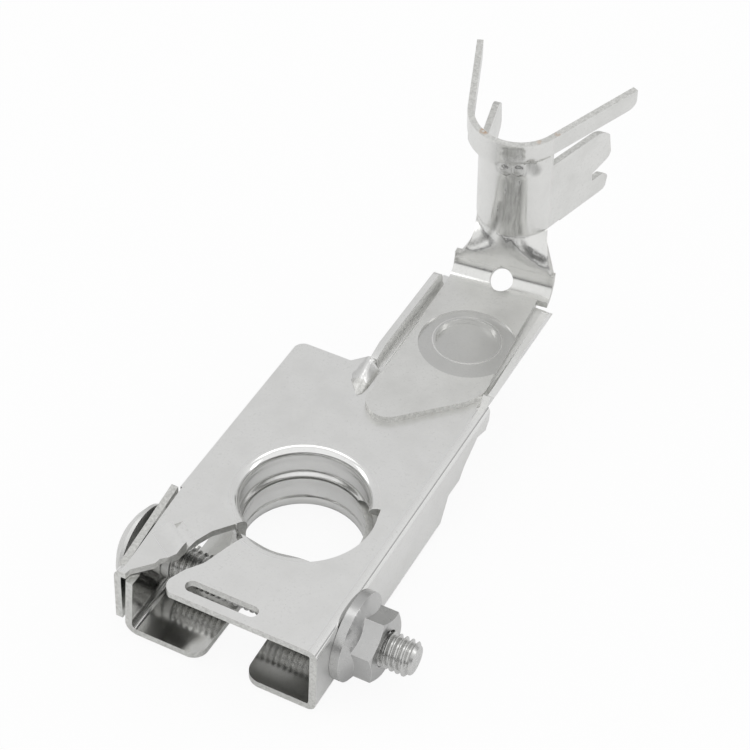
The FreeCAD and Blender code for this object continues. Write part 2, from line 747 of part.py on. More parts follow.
def make_lug():
    """The lug: a flat blade, a bend with its hole, a fan that turns into the open barrel."""
    body = new_body("cable_lug")
    thick = size("lug_wall")
    under = height
    upper = height + thick
    lug_left = size("lug_left")
    lug_right = size("lug_right")
    blade_right = size("blade_right")
    nose = size("lug_nose")
    bend_line = size("lug_bend_line")
    bend = size("lug_bend")
    press = size("press_radius")
    press_wall = size("press_wall")
    rim_depth = size("press_rim_depth")
    depth = size("press_depth")

    # The flat blade, with its blunt nose and long sloped edge
    drawing = new_sketch(body, "BladeOutline", "XY_Plane", along=under)
    draw_outline(drawing, [
        (lug_left, bend_line),
        (lug_left - 2.6, nose + 5.2),
        (lug_left - 1.9, nose + 1.4, 3.2),
        (lug_left + 0.5, nose, 3.2),
        (lug_left + 2.8, nose + 0.6, 4.5),
        (blade_right - 3.5, nose + 8.4),
        (blade_right - 2.0, nose + 10.4),
        (blade_right - 1.2, nose + 15, 7),
        (blade_right, bend_line),
    ])
    pad(body, "Blade", drawing, thick)

    # The bend that lifts the riser off the blade
    face = bend_line + bend
    riser_top = under + thick + bend + 1.2
    drawing = new_sketch(body, "BendSection", "YZ_Plane", along=lug_left)
    draw_outline(drawing, [
        (bend_line - 0.1, under),
        (bend_line, under),
        (face + thick, upper + bend, bend + thick),
        (face + thick, riser_top),
        (face, riser_top),
        (face, upper + bend),
        (bend_line, upper, -bend),
        (bend_line - 0.1, upper),
    ])
    pad(body, "Bend", drawing, lug_right - lug_left)

    # The barrel leans over the blade. Its sections are drawn square to its own axis
    lean = size("barrel_lean")
    top = size("barrel_top")
    place_x = size("barrel_x")
    place_y = size("barrel_y")
    sheet_wall = size("barrel_wall")
    radius = size("barrel_radius")
    axis_x = size("barrel_axis")
    length = size("trough_length")

    def barrel_sketch(name, drop):
        """A sketch across the barrel, at a drop down its axis from the top."""
        across = (place_x, place_y + sine(lean) * drop)
        return new_sketch(body, name, "XY_Plane", along=top - cosine(lean) * drop,
                          at=across, tilt=lean)

    def fan_section(name, drop, left_end, right_end, face_back, bow):
        """A shallow bowed strip across the fan, with its middle at face_back."""
        drawing = barrel_sketch(name, drop)
        draw_outline(drawing, [
            (left_end, face_back + bow),
            (right_end, face_back + bow, arc_radius(right_end - left_end, bow)),
            (right_end, face_back + bow + thick),
            (left_end, face_back + bow + thick, -arc_radius(right_end - left_end, bow)),
        ])
        return drawing

    def arc_radius(chord, bow):
        return chord * chord / (bow * 8) + bow / 2

    def trough_section(name, drop, middle, radius, left_angle, right_angle, left_arm, right_arm):
        """A round trough with two straight arms that leave it as tangents."""
        drawing = barrel_sketch(name, drop)
        inner = radius - sheet_wall
        left_out = (-cosine(left_angle), -sine(left_angle))
        left_up = (-sine(left_angle), cosine(left_angle))
        right_out = (cosine(right_angle), -sine(right_angle))
        right_up = (sine(right_angle), cosine(right_angle))

        def on_arm(out, up, reach, arm):
            return (middle + out[0] * reach + up[0] * arm, radius + out[1] * reach + up[1] * arm)

        keel = (middle, as_size(0))
        draw_outline(drawing, [
            on_arm(left_out, left_up, inner, left_arm),
            on_arm(left_out, left_up, radius, left_arm),
            on_arm(left_out, left_up, radius, 0),
            (*keel, radius),
            (*on_arm(right_out, right_up, radius, 0), radius),
            on_arm(right_out, right_up, radius, right_arm),
            on_arm(right_out, right_up, inner, right_arm),
            on_arm(right_out, right_up, inner, 0),
            (keel[0], sheet_wall, -inner),
            (*on_arm(left_out, left_up, inner, 0), -inner),
        ])
        return drawing

    grip = size("grip_length")
    slot = size("wing_slot")
    drawing = trough_section("GripSection", as_size(0), axis_x, radius,
                             size("grip_left_angle"), size("grip_right_angle"),
                             size("grip_left_arm"), size("grip_right_arm"))
    pad(body, "GripArms", drawing, grip + slot / 2, reverse=True)

    # The wire wings stand a little steeper than the grip arms above them
    left_angle = size("wing_left_angle")
    right_angle = size("wing_right_angle")
    left_arm = size("wing_left_arm")
    right_arm = size("wing_right_arm")
    wire_radius = size("wire_radius")
    wire_x = size("wire_axis")
    wing_foot = grip + slot + size("wing_length")
    drawing = trough_section("WingSection", grip, wire_x, wire_radius, left_angle,
                             right_angle, left_arm, right_arm)
    pad(body, "WireWings", drawing, wing_foot - grip, reverse=True)

    # Each side is sheared to a grip arm, a slot and a wing with a notch in its edge
    wing_top = -(grip + slot)
    wing_bottom = -wing_foot
    notch = wing_bottom + 5.2
    far = size("grip_right_arm") * 2
    root = radius / 2
    wing_root = radius - 1.8
    corner = size("arm_corner")

    def arm_tip(angle, arm):
        """How far the tip of a grip arm stands from the keel."""
        return radius - sine(angle) * radius + cosine(angle) * arm

    left_tip = arm_tip(size("grip_left_angle"), size("grip_left_arm"))
    right_tip = arm_tip(size("grip_right_angle"), size("grip_right_arm"))
    for side, reverse, wing_arm, tip in (("Left", True, left_arm, left_tip),
                                         ("Right", False, right_arm, right_tip)):
        drawing = new_sketch(body, f"{side}Shear", "YZ_Plane", along=place_x + axis_x,
                             at=(place_y, top), turn=lean)
        draw_outline(drawing, [
            (far, corner - grip),
            (tip, corner - grip),
            (tip - corner, -grip, -corner),
            (root, -grip),
            (root, wing_top),
            (wing_arm - 1, wing_top - 0.8),
            (wing_arm + 1.7, wing_top - 2.9, -4.5),
            (wing_arm + 2.3, notch + 3.3),
            (wing_arm + 1.3, notch + 1.9, -1.6),
            (wing_arm - 1.9, notch + 0.9),
            (wing_arm - 1.8, notch - 0.9),
            (wing_arm + 0.7, notch - 1),
            (wing_arm + 2, notch - 2.7, -2.4),
            (wing_arm + 1.7, wing_bottom + 0.7),
            (wing_arm + 0.5, wing_bottom, -1.2),
            (wing_root, wing_bottom + 0.4),
            (wing_root, wing_bottom - 1),
            (far, wing_bottom - 1),
        ])
        pocket(body, f"{side}ShearCut", drawing, far, reverse=not reverse)
    drawing = new_sketch(body, "FanRoom", "YZ_Plane", along=place_x + axis_x - far,
                         at=(place_y, top), turn=lean)
    draw_outline(drawing, [
        (-3, -length),
        (-3, wing_bottom - 1),
        (wing_root, wing_bottom - 1),
        (wing_root, -length),
    ])
    pocket(body, "FanRoomCut", drawing, far * 2, reverse=True)

    # The fan that opens the trough out into the flat riser
    drawing = barrel_sketch("FanTop", length)
    inner = wire_radius - sheet_wall

    def trough_end(side, angle, reach):
        return (wire_x + side * reach * cosine(angle), wire_radius - reach * sine(angle))

    draw_outline(drawing, [
        trough_end(-1, left_angle, wire_radius),
        (*trough_end(1, right_angle, wire_radius), wire_radius),
        trough_end(1, right_angle, inner),
        (*trough_end(-1, left_angle, inner), -inner),
    ])
    riser_drop = (top - upper - bend) / cosine(lean)
    riser_face = face - place_y - sine(lean) * riser_drop
    waist_drop = (top - size("waist_height")) / cosine(lean)
    waist = fan_section("FanWaist", waist_drop, size("waist_left"), size("waist_right"),
                        riser_face + 0.6, as_size(0.7))
    foot = fan_section("FanFoot", riser_drop, lug_left - place_x, lug_right - place_x,
                       riser_face, as_size(0.02))
    fan = body.newObject("PartDesign::AdditiveLoft", "Fan")
    fan.Profile = drawing
    fan.Sections = [waist, foot]
    doc.recompute()

    # The round hole through the bend
    half = bend + thick / 2
    reach = 3
    diagonal = cosine(as_size(45))
    drawing = new_sketch(body, "InspectionHole", "XY_Plane",
                         along=upper + bend - half * diagonal + reach * diagonal,
                         at=(place_x, bend_line + half * diagonal - reach * diagonal),
                         tilt=as_size(45))
    draw_circle(drawing, 0, 0, size("lug_hole") / 2)
    pocket(body, "InspectionHoleCut", drawing, reach * 2)

    # The pressed joint: a sunk disc, a raised ring and a cup that nests in the tail
    cup = press + press_wall - size("press_clearance")
    mouth = cup + press_wall + 0.4
    drawing = new_sketch(body, "PressRim", "XY_Plane", along=upper)
    draw_circle(drawing, size("press_rim_x"), size("press_rim_y"), size("press_rim"))
    pocket(body, "PressRimCut", drawing, rim_depth)
    drawing = new_sketch(body, "PressMouth", "XY_Plane", along=upper)
    draw_circle(drawing, 0, 0, mouth)
    pocket(body, "PressMouthCut", drawing, thick)
    drawing = new_sketch(body, "PressCup", "XZ_Plane")
    draw_outline(drawing, [
        (0, upper - depth),
        (press - 0.15, upper - depth),
        (press, upper - rim_depth + 0.1),
        (press + 0.4, upper - rim_depth + 0.1),
        (press + 0.6, upper - rim_depth),
        (mouth, upper - rim_depth),
        (mouth, under),
        (cup, under),
        (cup, under - depth + rim_depth),
        (0, under - depth + rim_depth),
    ])
    revolve(body, "PartDesign::Revolution", "PressedCup", drawing)
    place(body, (size("press_x"), size("press_y"), 0), (0, 0, 1), size("lug_yaw"))
    return body


def make_bolt():
    """The carriage bolt, drawn along its own axis from under the head."""
    body = new_body("clamp_bolt")
    radius = size("bolt_radius")
    length = size("bolt_length")
    head = size("head_radius")
    edge = size("head_edge")
    chamfer = size("bolt_chamfer")
    slope = size("head_angle")
    flat_angle = size("head_flat_angle")
    dome = head / sine(slope)
    flat = dome * sine(flat_angle)
    rise = edge + dome * (cosine(flat_angle) - cosine(slope))
    chords = []
    for step in range(1, 5):
        angle = flat_angle + (slope - flat_angle) * (step / 4)
        chords.append((dome * sine(angle), -(edge + dome * (cosine(angle) - cosine(slope)))))
    drawing = new_sketch(body, "BoltSection", "XZ_Plane")
    draw_outline(drawing, [
        (0, -rise),
        (flat, -rise),
        *chords,
        (head, 0),
        (radius, 0),
        (radius, length - chamfer),
        (radius - chamfer, length),
        (0, length),
    ])
    revolve(body, "PartDesign::Revolution", "BoltTurned", drawing)
    half = size("neck_side") / 2
    drawing = new_sketch(body, "NeckSection", "XY_Plane")
    draw_outline(drawing, [(-half, -half), (half, -half), (half, half), (-half, half)])
    pad(body, "SquareNeck", drawing, size("neck_length"))
    seat = left - size("flange_flare") - size("seat_clearance")
    place(body, (seat, size("bolt_y"), size("bolt_height")), (0, 1, 0), 90)
    return body


def make_nut():
    """The flange nut, drawn along its own axis from its seat."""
    body = new_body("flange_nut")
    flats = size("nut_flats")
    bore = size("bolt_radius") + size("thread_clearance")
    high = size("nut_height")
    flange = size("nut_flange_radius")
    edge = size("nut_flange_edge")
    cone = size("nut_flange_height")
    corner = flats / 2 / cosine(as_size(30))
    drawing = new_sketch(body, "HexSection", "XY_Plane")
    turns = [size("nut_turn") + 60 * step for step in range(6)]
    draw_outline(drawing, [(corner * cosine(turn), corner * sine(turn)) for turn in turns])
    pad(body, "Hexagon", drawing, high)
    drawing = new_sketch(body, "FlangeSection", "XZ_Plane")
    draw_outline(drawing, [
        (0, 0),
        (flange, 0),
        (flange, edge),
        (flats / 2, cone),
        (0, cone),
    ])
    revolve(body, "PartDesign::Revolution", "Flange", drawing)
    drawing = new_sketch(body, "NutChamfer", "XZ_Plane")
    draw_outline(drawing, [
        (flats / 2, high),
        (corner + 0.2, high),
        (corner + 0.2, high - 0.5),
    ])
    revolve(body, "PartDesign::Groove", "NutChamferCut", drawing)
    drawing = new_sketch(body, "ThreadBore", "XY_Plane", along=-1)
    draw_circle(drawing, 0, 0, bore)
    pocket(body, "ThreadBoreCut", drawing, high + 2, reverse=True)
    seat = right + size("seat_clearance")
    place(body, (seat, size("bolt_y"), size("bolt_height")), (0, 1, 0), 90)
    return body


def place(body, base, axis, angle):
    """Puts a body where it belongs, with its place tied to the sheet."""
    places = [as_size(part) for part in base]
    turn = as_size(angle)
    vector = FreeCAD.Vector(*[part.value for part in places])
    body.Placement = FreeCAD.Placement(vector, FreeCAD.Rotation(FreeCAD.Vector(*axis), turn.value))
    for letter, part in zip("xyz", places):
        body.setExpression(f"Placement.Base.{letter}", part.formula)
    body.setExpression("Placement.Rotation.Angle", turn.formula)


bodies = [make_clamp(), make_lug(), make_bolt(), make_nut()]
doc.recompute()
for item in doc.Objects:
    if "Invalid" in item.State or "Error" in item.State:
        raise RuntimeError(f"{item.Name} did not rebuild")
for body in bodies:
    if body.Shape.isNull() or not body.Shape.isValid():
        raise RuntimeError(f"{body.Label} is not a sound solid")
os.makedirs("parts", exist_ok=True)
for body in bodies:
    body.Shape.exportStep(f"parts/{body.Label}.step")
    print(body.Label, len(body.Shape.Solids), round(body.Shape.Volume), body.Shape.BoundBox)
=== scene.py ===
import math
import bpy
from mathutils import Matrix, Vector
from mathutils.bvhtree import BVHTree


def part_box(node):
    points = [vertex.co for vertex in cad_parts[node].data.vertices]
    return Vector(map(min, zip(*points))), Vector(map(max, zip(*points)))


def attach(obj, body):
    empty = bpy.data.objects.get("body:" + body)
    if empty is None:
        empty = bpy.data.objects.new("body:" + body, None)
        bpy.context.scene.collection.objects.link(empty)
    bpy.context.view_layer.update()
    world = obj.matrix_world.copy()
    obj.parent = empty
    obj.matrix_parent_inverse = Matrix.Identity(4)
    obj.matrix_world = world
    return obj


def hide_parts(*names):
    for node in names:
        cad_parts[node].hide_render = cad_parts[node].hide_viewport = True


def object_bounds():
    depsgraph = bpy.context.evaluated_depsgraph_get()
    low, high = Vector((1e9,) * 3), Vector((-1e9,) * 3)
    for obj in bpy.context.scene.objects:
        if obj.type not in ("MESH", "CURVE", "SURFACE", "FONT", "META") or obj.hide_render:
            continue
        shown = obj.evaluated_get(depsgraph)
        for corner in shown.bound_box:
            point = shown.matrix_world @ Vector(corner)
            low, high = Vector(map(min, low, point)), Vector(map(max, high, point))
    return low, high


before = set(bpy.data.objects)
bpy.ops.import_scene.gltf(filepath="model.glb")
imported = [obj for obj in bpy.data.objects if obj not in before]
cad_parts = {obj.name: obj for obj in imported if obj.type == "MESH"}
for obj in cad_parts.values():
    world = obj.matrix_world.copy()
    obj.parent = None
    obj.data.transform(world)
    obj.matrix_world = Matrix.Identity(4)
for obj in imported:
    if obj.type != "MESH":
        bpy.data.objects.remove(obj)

cad_low, cad_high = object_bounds()


# The clamp body is one sheet of copper alloy, 1.2 mm thick, folded into a box and drawn into
# two collars, then barrel plated with tin. The press leaves satin flats, polished bends and
# grainy sheared edges, where the plating is thin and a little copper shows.
def only(piece):
    """Leaves one piece selected and active, in object mode."""
    bpy.ops.object.select_all(action="DESELECT")
    piece.select_set(True)
    bpy.context.view_layer.objects.active = piece


def node(tree, kind, **settings):
    """A shader node with its settings and plain socket values."""
    made = tree.nodes.new(kind)
    for key, value in settings.items():
        if key in made.inputs:
            made.inputs[key].default_value = value
        else:
            setattr(made, key, value)
    return made


def group(name, inputs, outputs):
    """An empty shader group with its named sockets, and its two end nodes."""
    made = bpy.data.node_groups.new(name, "ShaderNodeTree")
    for label, kind, value in inputs:
        socket = made.interface.new_socket(label, in_out="INPUT", socket_type=kind)
        socket.default_value = value
    for label, kind in outputs:
        made.interface.new_socket(label, in_out="OUTPUT", socket_type=kind)
    return made, made.nodes.new("NodeGroupInput"), made.nodes.new("NodeGroupOutput")


def pressed_skin():
    """Fine press grain, handling scratches and soft stains on plated sheet."""
    made, given, out = group(
        "pressed skin",
        [("Base", "NodeSocketColor", (0.8, 0.8, 0.78, 1)),
         ("Stain", "NodeSocketColor", (0.6, 0.6, 0.58, 1)),
         ("Roughness", "NodeSocketFloat", 0.25)],
        [("Color", "NodeSocketColor"), ("Roughness", "NodeSocketFloat"),
         ("Height", "NodeSocketFloat")])
    link = made.links.new
    where = node(made, "ShaderNodeTexCoord")
    cloud = node(made, "ShaderNodeTexNoise", Scale=160.0, Detail=6.0, Roughness=0.65)
    grain = node(made, "ShaderNodeTexNoise", Scale=2300.0, Detail=4.0, Roughness=0.75)
    drawn = node(made, "ShaderNodeMapping", Scale=(1500, 70, 1500),
                 Rotation=(0, 0, math.radians(24)))
    crossed = node(made, "ShaderNodeMapping", Scale=(90, 1300, 900),
                   Rotation=(0, math.radians(8), math.radians(-37)))
    scratch = node(made, "ShaderNodeTexNoise", Scale=2.0, Detail=3.0, Roughness=0.7)
    handling = node(made, "ShaderNodeTexNoise", Scale=1.6, Detail=2.0, Roughness=0.6)
    for texture in (cloud, grain, drawn, crossed):
        link(where.outputs["Object"], texture.inputs["Vector"])
    link(drawn.outputs["Vector"], scratch.inputs["Vector"])
    link(crossed.outputs["Vector"], handling.inputs["Vector"])
    patches = node(made, "ShaderNodeMapRange",
                   **{"From Min": 0.42, "From Max": 0.8, "To Max": 0.35})
    specks = node(made, "ShaderNodeMapRange",
                  **{"From Min": 0.54, "From Max": 0.76, "To Max": 0.6})
    link(cloud.outputs["Fac"], patches.inputs["Value"])
    link(grain.outputs["Fac"], specks.inputs["Value"])
    soiled = node(made, "ShaderNodeMath", operation="MAXIMUM")
    link(patches.outputs["Result"], soiled.inputs[0])
    link(specks.outputs["Result"], soiled.inputs[1])
    tint = node(made, "ShaderNodeMix", data_type="RGBA")
    link(soiled.outputs["Value"], tint.inputs["Factor"])
    link(given.outputs["Base"], tint.inputs["A"])
    link(given.outputs["Stain"], tint.inputs["B"])
    link(tint.outputs["Result"], out.inputs["Color"])
    fine = node(made, "ShaderNodeMath", operation="MULTIPLY_ADD")
    link(grain.outputs["Fac"], fine.inputs[0])
    fine.inputs[1].default_value = 0.12
    link(given.outputs["Roughness"], fine.inputs[2])
    worn = node(made, "ShaderNodeMath", operation="MULTIPLY_ADD")
    link(cloud.outputs["Fac"], worn.inputs[0])
    worn.inputs[1].default_value = 0.10
    link(fine.outputs["Value"], worn.inputs[2])
    link(worn.outputs["Value"], out.inputs["Roughness"])
    lines = node(made, "ShaderNodeMath", operation="ADD")
    link(scratch.outputs["Fac"], lines.inputs[0])
    link(handling.outputs["Fac"], lines.inputs[1])
    height = node(made, "ShaderNodeMath", operation="MULTIPLY_ADD")
    link(lines.outputs["Value"], height.inputs[0])
    height.inputs[1].default_value = 0.35
    link(grain.outputs["Fac"], height.inputs[2])
    link(height.outputs["Value"], out.inputs["Height"])
    return made


skin_group = pressed_skin()


def plated_metal(name, base, stain, roughness, bump):
    """Bright plating with the press grain in its colour, roughness and bump."""
    material = bpy.data.materials.new(name)
    material.use_nodes = True
    tree = material.node_tree
    shader = tree.nodes["Principled BSDF"]
    shader.inputs["Metallic"].default_value = 1.0
    skin = tree.nodes.new("ShaderNodeGroup")
    skin.name = "skin"
    skin.node_tree = skin_group
    skin.inputs["Base"].default_value = base
    skin.inputs["Stain"].default_value = stain
    skin.inputs["Roughness"].default_value = roughness
    relief = node(tree, "ShaderNodeBump", Strength=bump, Distance=0.00002)
    tree.links.new(skin.outputs["Color"], shader.inputs["Base Color"])
    tree.links.new(skin.outputs["Roughness"], shader.inputs["Roughness"])
    tree.links.new(skin.outputs["Height"], relief.inputs["Height"])
    tree.links.new(relief.outputs["Normal"], shader.inputs["Normal"])
    return material


def torn_metal(name, dark, light, bare_places, rough_low, rough_high, bump):
    """A cut edge: torn grain, with copper where the plating has not covered it.

    A bare place is a point, the radius round it and how bare the metal is there."""
    material = bpy.data.materials.new(name)
    material.use_nodes = True
    tree = material.node_tree
    link = tree.links.new
    shader = tree.nodes["Principled BSDF"]
    shader.inputs["Metallic"].default_value = 1.0
    where = node(tree, "ShaderNodeTexCoord")
    spots = node(tree, "ShaderNodeTexNoise", Scale=1100.0, Detail=3.0, Roughness=0.6)
    grain = node(tree, "ShaderNodeTexNoise", Scale=1900.0, Detail=5.0, Roughness=0.8)
    for texture in (spots, grain):
        link(where.outputs["Object"], texture.inputs["Vector"])
    patchy = node(tree, "ShaderNodeMapRange", **{"From Min": 0.38, "From Max": 0.52})
    link(spots.outputs["Fac"], patchy.inputs["Value"])
    bare = node(tree, "ShaderNodeMapRange",
                **{"From Min": 0.72, "From Max": 0.80, "To Max": 0.3})
    link(spots.outputs["Fac"], bare.inputs["Value"])
    bare_amount = bare.outputs["Result"]
    for place, radius, amount in bare_places:
        away = node(tree, "ShaderNodeVectorMath", operation="DISTANCE")
        link(where.outputs["Object"], away.inputs[0])
        away.inputs[1].default_value = place
        near = node(tree, "ShaderNodeMapRange",
                    **{"From Min": radius, "From Max": radius * 0.4, "To Max": amount})
        link(away.outputs["Value"], near.inputs["Value"])
        worn = node(tree, "ShaderNodeMath", operation="MULTIPLY_ADD")
        link(near.outputs["Result"], worn.inputs[0])
        link(patchy.outputs["Result"], worn.inputs[1])
        link(bare_amount, worn.inputs[2])
        bare_amount = worn.outputs["Value"]
    torn_grain_and_painted_shade = node(tree, "ShaderNodeMix", data_type="RGBA")
    torn_grain_and_painted_shade.inputs["A"].default_value = dark
    torn_grain_and_painted_shade.inputs["B"].default_value = light
    spread = node(tree, "ShaderNodeMapRange", **{"From Min": 0.3, "From Max": 0.7})
    link(grain.outputs["Fac"], spread.inputs["Value"])
    link(spread.outputs["Result"], torn_grain_and_painted_shade.inputs["Factor"])
    copper = node(tree, "ShaderNodeMix", data_type="RGBA")
    copper.inputs["B"].default_value = (0.55, 0.40, 0.29, 1)
    link(bare_amount, copper.inputs["Factor"])
    link(torn_grain_and_painted_shade.outputs["Result"], copper.inputs["A"])
    link(copper.outputs["Result"], shader.inputs["Base Color"])
    rough = node(tree, "ShaderNodeMapRange", **{"To Min": rough_low, "To Max": rough_high})
    link(grain.outputs["Fac"], rough.inputs["Value"])
    link(rough.outputs["Result"], shader.inputs["Roughness"])
    relief = node(tree, "ShaderNodeBump", Strength=bump, Distance=0.00006)
    link(grain.outputs["Fac"], relief.inputs["Height"])
    link(relief.outputs["Normal"], shader.inputs["Normal"])
    return material


def mend_copy(node_name, name):
    """A copy of a CAD node with its triangles merged and its flats made whole."""
    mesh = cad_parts[node_name].data.copy()
    mesh.name = name
    mesh.materials.clear()
    piece = bpy.data.objects.new(name, mesh)
    bpy.context.scene.collection.objects.link(piece)
    only(piece)
    bpy.ops.object.mode_set(mode="EDIT")
    bpy.ops.mesh.select_all(action="SELECT")
    bpy.ops.mesh.remove_doubles(threshold=1e-6)
    bpy.ops.mesh.dissolve_limited(angle_limit=math.radians(0.3))
    bpy.ops.mesh.select_all(action="DESELECT")
    bpy.ops.object.mode_set(mode="OBJECT")
    return piece


def break_corners(piece, edge_round, edge_slot):
    """Rounds the corners and gives the rounding its own finish."""
    only(piece)
    bevel = piece.modifiers.new("broken corners", "BEVEL")
    bevel.width = edge_round
    bevel.segments = 2
    bevel.limit_method = "ANGLE"
    bevel.angle_limit = math.radians(50)
    bevel.use_clamp_overlap = True
    bevel.material = edge_slot
    bpy.ops.object.modifier_apply(modifier=bevel.name)


def keep_flats(piece):
    """Shades the bends smooth and the flats flat."""
    only(piece)
    bpy.ops.object.shade_smooth_by_angle(angle=math.radians(38))
    even = piece.modifiers.new("even flats", "WEIGHTED_NORMAL")
    even.keep_sharp = True
    bpy.ops.object.modifier_apply(modifier=even.name)


def sort_faces(piece, thickness, flat, bend, inside, cut, drawn=None):
    """Finishes each face of a pressed sheet by how the press made it; closed-in faces get
    painted shade.

    Narrow strips are cut edges, except within the drawn place, a centre and a radius."""
    corner_fold, bend_fold = 26.0, 1.5
    bend_facet, drawn_facet = 20e-6, 60e-6
    enclosed_within = 0.036
    mesh = piece.data
    mesh.calc_loop_triangles()
    centre = {}
    for triangle in mesh.loop_triangles:
        centre.setdefault(triangle.polygon_index, triangle.center.copy())
    tree = BVHTree.FromPolygons([v.co for v in mesh.vertices],
                                [t.vertices for t in mesh.loop_triangles])
    faces = {}
    for face in mesh.polygons:
        for key in face.edge_keys:
            faces.setdefault(key, []).append(face.index)
    seen = set()
    for first in range(len(mesh.polygons)):
        if first in seen:
            continue
        patch, queue, rim = [first], [first], 0.0
        curved = set()
        seen.add(first)
        while queue:
            index = queue.pop()
            face = mesh.polygons[index]
            for key in face.edge_keys:
                others = [other for other in faces[key] if other != index]
                turn = -1.0
                if others:
                    turn = face.normal.dot(mesh.polygons[others[0]].normal)
                fold = math.degrees(math.acos(max(-1.0, min(1.0, turn))))
                if fold > corner_fold:
                    a, b = (mesh.vertices[i].co for i in key)
                    rim += (a - b).length
                    continue
                if fold > bend_fold and face.area < bend_facet:
                    curved.add(index)
                if others[0] not in seen:
                    seen.add(others[0])
                    patch.append(others[0])
                    queue.append(others[0])
        area = sum(mesh.polygons[index].area for index in patch)
        strip = rim > 0 and 2 * area / rim < thickness * 1.12
        if drawn and (centre[first] - drawn[0]).length < drawn[1]:
            strip = False
            curved.update(patch if area < drawn_facet else [])
        for index in patch:
            face = mesh.polygons[index]
            start = centre[index] + face.normal * 0.00002
            # A face that another face closes in gets the inside finish, whose darker tin is
            # painted shade.
            met = tree.ray_cast(start, face.normal, enclosed_within)[0]
            if strip:
                face.material_index = cut
            elif index in curved:
                face.material_index = bend
            elif met is not None:
                face.material_index = inside
            else:
                face.material_index = flat


def draw_bore(piece, seam, flare, low, high, top):
    """Flares a collar's wall above its seam, full from low to high and none at the top."""
    slices, wall_reach, flare_reach, fade = 14, 0.0118, 0.0128, 0.0014
    only(piece)
    for step in range(1, slices + 1):
        height = seam + (high - seam) * step / slices
        for face in piece.data.polygons:
            middle = Vector(face.center[:2]).length
            face.select = middle < wall_reach and abs(face.normal.z) < 0.9
        bpy.ops.object.mode_set(mode="EDIT")
        bpy.ops.mesh.bisect(plane_co=(0, 0, height), plane_no=(0, 0, 1), threshold=0.000001)
        bpy.ops.mesh.select_all(action="DESELECT")
        bpy.ops.object.mode_set(mode="OBJECT")
    for vertex in piece.data.vertices:
        across = Vector((vertex.co.x, vertex.co.y, 0))
        if across.length > flare_reach or not seam < vertex.co.z < top:
            continue
        if vertex.co.z < low:
            share = (vertex.co.z - seam) / (low - seam)
            share = share * share * (3 - 2 * share)
        else:
            share = max(0.0, min(1.0, (top - vertex.co.z) / (top - high)))
        share *= max(0.0, min(1.0, (flare_reach - across.length) / fade))
        vertex.co += across.normalized() * flare * share


def smooth_horn(piece, low, high, finish, shaded_front_below, torn_grain_and_painted_shade):
    """Rounds the drawn horn rising into the tail's wall; its front gets painted shade."""
    horn_facet = 6e-6
    only(piece)
    for vertex in piece.data.vertices:
        inside = all(low[i] < vertex.co[i] < high[i] for i in range(3))
        vertex.select = inside
    for edge in piece.data.edges:
        edge.select = False
    for face in piece.data.polygons:
        face.select = False
        inside = all(low[i] < face.center[i] < high[i] for i in range(3))
        if inside and face.area < horn_facet:
            # Faces at the horn's front take the darker sheared finish as painted shade for the
            # hollow there.
            face.material_index = finish if face.center.y > shaded_front_below else torn_grain_and_painted_shade
    bpy.ops.object.mode_set(mode="EDIT")
    bpy.ops.mesh.select_mode(type="VERT")
    bpy.ops.mesh.vertices_smooth(factor=0.5, repeat=14)
    bpy.ops.mesh.select_all(action="DESELECT")
    bpy.ops.object.mode_set(mode="OBJECT")


lug_bare_places = [((0.0003, 0.0607, 0.0451), 0.0010, 0.95),
                   ((0.0095, 0.0624, 0.0452), 0.0006, 0.45),
                   ((0.0115, 0.0654, 0.0456), 0.0007, 0.55)]
sheet_finishes = [
    plated_metal("tin on flats", (0.83, 0.83, 0.82, 1), (0.60, 0.60, 0.585, 1), 0.20, 0.55),
    plated_metal("tin on bends", (0.86, 0.86, 0.85, 1), (0.66, 0.66, 0.645, 1), 0.03, 0.12),
    # The inside finish is a darker tin: painted shade for closed-in faces.
    plated_metal("tin inside", (0.66, 0.66, 0.645, 1), (0.42, 0.42, 0.40, 1), 0.01, 0.10),
    torn_metal("sheared edge", (0.50, 0.50, 0.48, 1), (0.84, 0.84, 0.82, 1),
               lug_bare_places, 0.34, 0.52, 0.26),
    torn_metal("worn corner", (0.66, 0.66, 0.64, 1), (0.90, 0.90, 0.88, 1),
               lug_bare_places, 0.10, 0.26, 0.12),
    # A much lighter tin: a painted highlight on the inner face of the tail's wall.
    plated_metal("tin with painted highlight on tail wall", (0.94, 0.94, 0.93, 1), (0.80, 0.80, 0.79, 1), 0.42, 0.30)]
flats, bends, inside, sheared, worn, tail_wall_painted_highlight = range(6)
sheet_thickness, sheet_corner = 0.0012, 0.00011
tail_start, plate_top = 0.027, 0.0134
clamp = mend_copy("clamp_body", "clamp_sheet")
for finish in sheet_finishes:
    clamp.data.materials.append(finish)
sort_faces(clamp, sheet_thickness, flats, bends, inside, sheared)
for face in clamp.data.polygons:
    if face.center.y > tail_start and face.center.z > plate_top:
        if face.material_index == sheared:
            face.material_index = bends
        elif face.material_index == inside:
            face.material_index = flats
        # The inner face of the tail's left wall gets the painted highlight.
        if -0.0036 < face.center.x < -0.0025 and face.normal.x > 0.3:
            face.material_index = tail_wall_painted_highlight
break_corners(clamp, sheet_corner, worn)
draw_bore(clamp, seam=0.00715, flare=0.0007, low=0.0087, high=0.0105, top=0.0131)
draw_bore(clamp, seam=0.0024, flare=0.00035, low=0.0034, high=0.0052, top=0.0068)
# The horn's front faces get the sheared finish as painted shade.
smooth_horn(clamp, (-0.0125, 0.0222, 0.0129), (-0.0016, 0.0312, 0.0166), flats,
            shaded_front_below=0.0268, torn_grain_and_painted_shade=sheared)
keep_flats(clamp)
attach(clamp, "clamp")
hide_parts("clamp_body")


